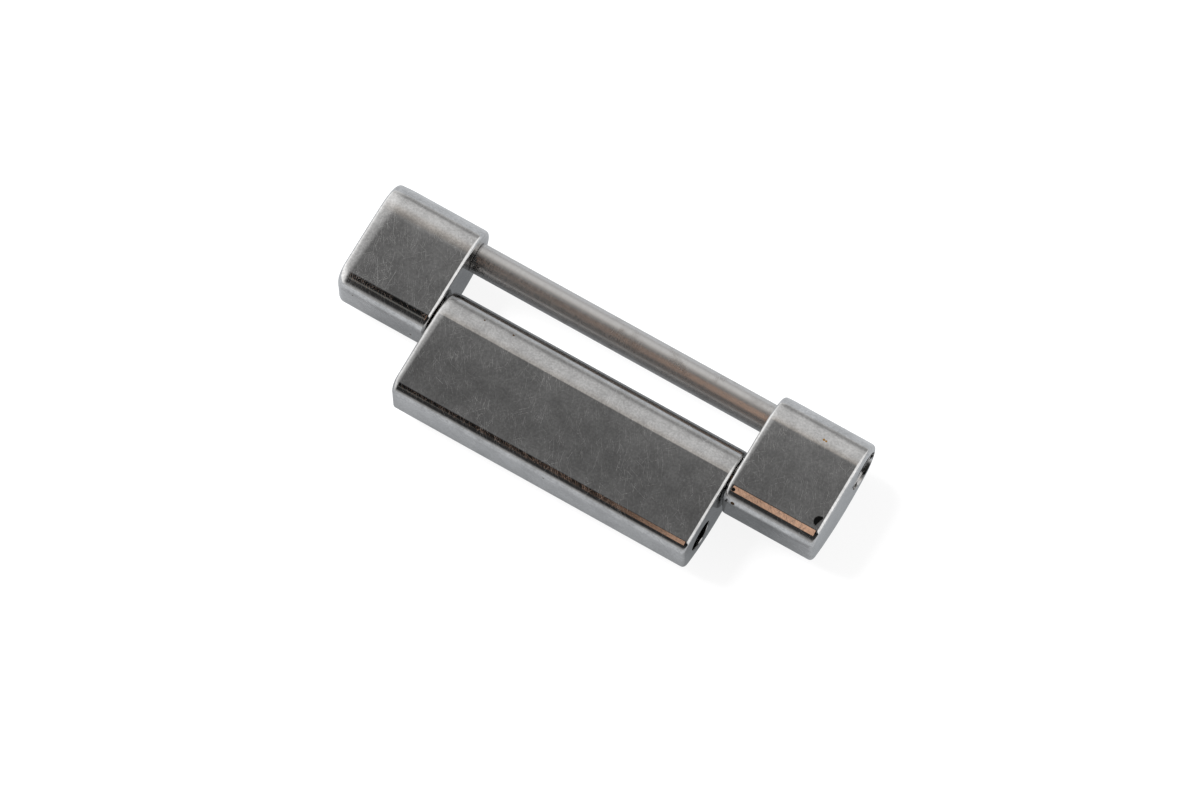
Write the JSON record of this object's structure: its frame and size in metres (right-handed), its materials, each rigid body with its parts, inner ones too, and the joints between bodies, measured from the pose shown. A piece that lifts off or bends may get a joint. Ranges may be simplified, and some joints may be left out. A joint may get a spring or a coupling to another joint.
{
  "type": "watch bracelet link",
  "caption": "Polished steel link of a three-row watch bracelet: outer links joined by a slotted screw bar, and a centre link swinging on a hidden pin.",
  "frame": {"origin": "middle of the link's width and length, at the height of its underside", "axes": "+X across the bracelet towards the screw head, +Y along the bracelet towards the bare screw bar, +Z away from the wrist"},
  "size_m": [0.02, 0.0072, 0.0029],
  "materials": {
    "polished_steel": "polished, with fine hairline scratches from wear",
    "satin_steel": "satin, turned"
  },
  "bodies": {
    "outer_pair": {"left_outer_link": "polished_steel", "right_outer_link": "polished_steel", "hinge_pin": "satin_steel"},
    "centre": {"centre_link": "polished_steel"},
    "bar": {"screw_bar": "satin_steel"}
  },
  "joints": [
    {"name": "centre_swing", "type": "hinge", "parent": "outer_pair", "child": "centre", "pos_m": [0, 0.00012, 0.00143], "axis": [1, 0, 0], "range_deg": [-125, 125]},
    {"name": "bar_slide", "type": "slide", "parent": "outer_pair", "child": "bar", "axis": [1, 0, 0], "range_m": [0, 0.03]}
  ]
}
